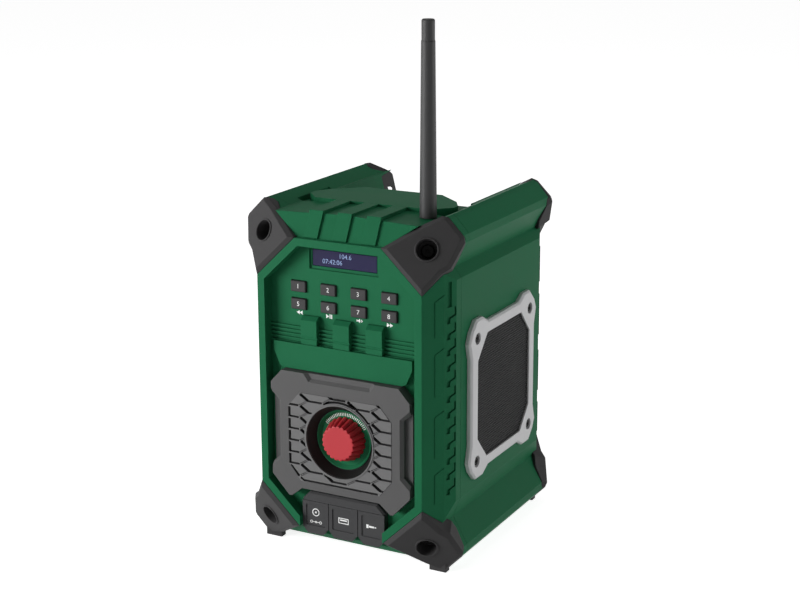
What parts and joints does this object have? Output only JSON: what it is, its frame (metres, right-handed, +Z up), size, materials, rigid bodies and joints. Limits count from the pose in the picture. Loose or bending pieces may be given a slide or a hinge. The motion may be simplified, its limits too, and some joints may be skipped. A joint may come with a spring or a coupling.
{
  "type": "jobsite radio",
  "caption": "Cordless jobsite radio with faceted two-part housing, rubber corner bumpers, control panel, dial, side speakers, battery bay and whip antenna.",
  "frame": {"origin": "middle of the four rubber feet, on the surface that the radio stands on", "axes": "+Z up, the control panel faces -Y, +X is the right-hand side seen from the front"},
  "size_m": [0.1852, 0.2117, 0.4138],
  "materials": {
    "green_plastic": "fine moulded texture, satin",
    "bumper_rubber": "soft matt rubber",
    "cover_rubber": "soft matt rubber",
    "grey_plastic": "matt moulded",
    "black_plastic": "matt moulded",
    "button_plastic": "matt moulded",
    "red_plastic": "satin moulded",
    "silver_plastic": "satin silver paint",
    "grille_metal": "matt black paint",
    "window_plastic": "clear tinted, polished",
    "lcd": "dark blue display",
    "board": "solder mask",
    "steel": "zinc plated",
    "dark_steel": "black passivated",
    "plated_shell": "plated",
    "brass": "plain",
    "cone_paper": "treated paper and rubber edge",
    "antenna_rubber": "matt rubber",
    "ink_white": "printed ink"
  },
  "bodies": {
    "radio": {"front_housing": "green_plastic", "rear_housing": "green_plastic", "bumper_screws": "dark_steel", "housing_screws": "steel", "display_window": "window_plastic", "lcd_module": "lcd", "button_board": "board", "front_bezel": "grey_plastic", "dial_surround": "black_plastic", "encoder_body": "steel", "encoder_nut": "steel", "port_seal": "cover_rubber", "dc_jack": "black_plastic", "usb_socket": "plated_shell", "aux_jack": "black_plastic", "port_board": "board", "speaker_screws": "dark_steel", "antenna_stud": "brass", "battery_dock": "black_plastic", "battery_contacts": "brass", "main_board": "board", "bumper_left_front_upper": "bumper_rubber", "bumper_left_front_lower": "bumper_rubber", "bumper_left_rear_upper": "bumper_rubber", "bumper_left_rear_lower": "bumper_rubber", "bumper_right_front_upper": "bumper_rubber", "bumper_right_front_lower": "bumper_rubber", "bumper_right_rear_upper": "bumper_rubber", "bumper_right_rear_lower": "bumper_rubber", "speaker_frame_left": "silver_plastic", "speaker_grille_left": "grille_metal", "speaker_driver_left": "steel", "speaker_cone_left": "cone_paper", "speaker_frame_right": "silver_plastic", "speaker_grille_right": "grille_metal", "speaker_driver_right": "steel", "speaker_cone_right": "cone_paper"},
    "volume_knob": {"volume_knob": "red_plastic", "encoder_shaft": "steel"},
    "dc_cover": {"dc_cover": "cover_rubber"},
    "usb_cover": {"usb_cover": "cover_rubber"},
    "aux_cover": {"aux_cover": "cover_rubber"},
    "antenna": {"antenna_mast": "antenna_rubber", "antenna_tip": "antenna_rubber"},
    "button_source": {"button_source": "button_plastic"},
    "button_preset": {"button_preset": "button_plastic"},
    "button_info": {"button_info": "button_plastic"},
    "button_power": {"button_power": "button_plastic"},
    "button_previous": {"button_previous": "button_plastic"},
    "button_mute": {"button_mute": "button_plastic"},
    "button_pair": {"button_pair": "button_plastic"},
    "button_next": {"button_next": "button_plastic"}
  },
  "joints": [
    {"name": "button_source_press", "type": "slide", "parent": "radio", "child": "button_source", "axis": [0, 1, 0], "range_m": [0, 0.001], "stiffness_N_per_m": 800, "springref_m": -0.0005},
    {"name": "button_preset_press", "type": "slide", "parent": "radio", "child": "button_preset", "axis": [0, 1, 0], "range_m": [0, 0.001], "stiffness_N_per_m": 800, "springref_m": -0.0005},
    {"name": "button_info_press", "type": "slide", "parent": "radio", "child": "button_info", "axis": [0, 1, 0], "range_m": [0, 0.001], "stiffness_N_per_m": 800, "springref_m": -0.0005},
    {"name": "button_power_press", "type": "slide", "parent": "radio", "child": "button_power", "axis": [0, 1, 0], "range_m": [0, 0.001], "stiffness_N_per_m": 800, "springref_m": -0.0005},
    {"name": "button_previous_press", "type": "slide", "parent": "radio", "child": "button_previous", "axis": [0, 1, 0], "range_m": [0, 0.001], "stiffness_N_per_m": 800, "springref_m": -0.0005},
    {"name": "button_mute_press", "type": "slide", "parent": "radio", "child": "button_mute", "axis": [0, 1, 0], "range_m": [0, 0.001], "stiffness_N_per_m": 800, "springref_m": -0.0005},
    {"name": "button_pair_press", "type": "slide", "parent": "radio", "child": "button_pair", "axis": [0, 1, 0], "range_m": [0, 0.001], "stiffness_N_per_m": 800, "springref_m": -0.0005},
    {"name": "button_next_press", "type": "slide", "parent": "radio", "child": "button_next", "axis": [0, 1, 0], "range_m": [0, 0.001], "stiffness_N_per_m": 800, "springref_m": -0.0005},
    {"name": "volume_turn", "type": "hinge", "parent": "radio", "child": "volume_knob", "pos_m": [0, -0.104, 0.0972], "axis": [0, -1, 0], "continuous": true},
    {"name": "dc_cover_hinge", "type": "hinge", "parent": "radio", "child": "dc_cover", "pos_m": [-0.0246, -0.1, 0.04365], "axis": [-1, 0, 0], "range_deg": [0, 100], "stiffness_Nm_per_rad": 0.002, "springref_deg": -11.46},
    {"name": "usb_cover_hinge", "type": "hinge", "parent": "radio", "child": "usb_cover", "pos_m": [0, -0.1, 0.04365], "axis": [-1, 0, 0], "range_deg": [0, 100], "stiffness_Nm_per_rad": 0.002, "springref_deg": -11.46},
    {"name": "aux_cover_hinge", "type": "hinge", "parent": "radio", "child": "aux_cover", "pos_m": [0.0246, -0.1, 0.04365], "axis": [-1, 0, 0], "range_deg": [0, 100], "stiffness_Nm_per_rad": 0.002, "springref_deg": -11.46},
    {"name": "antenna_turn", "type": "hinge", "parent": "radio", "child": "antenna", "pos_m": [0.054, -0.0625, 0.27], "axis": [0, 0, 1], "continuous": true}
  ]
}
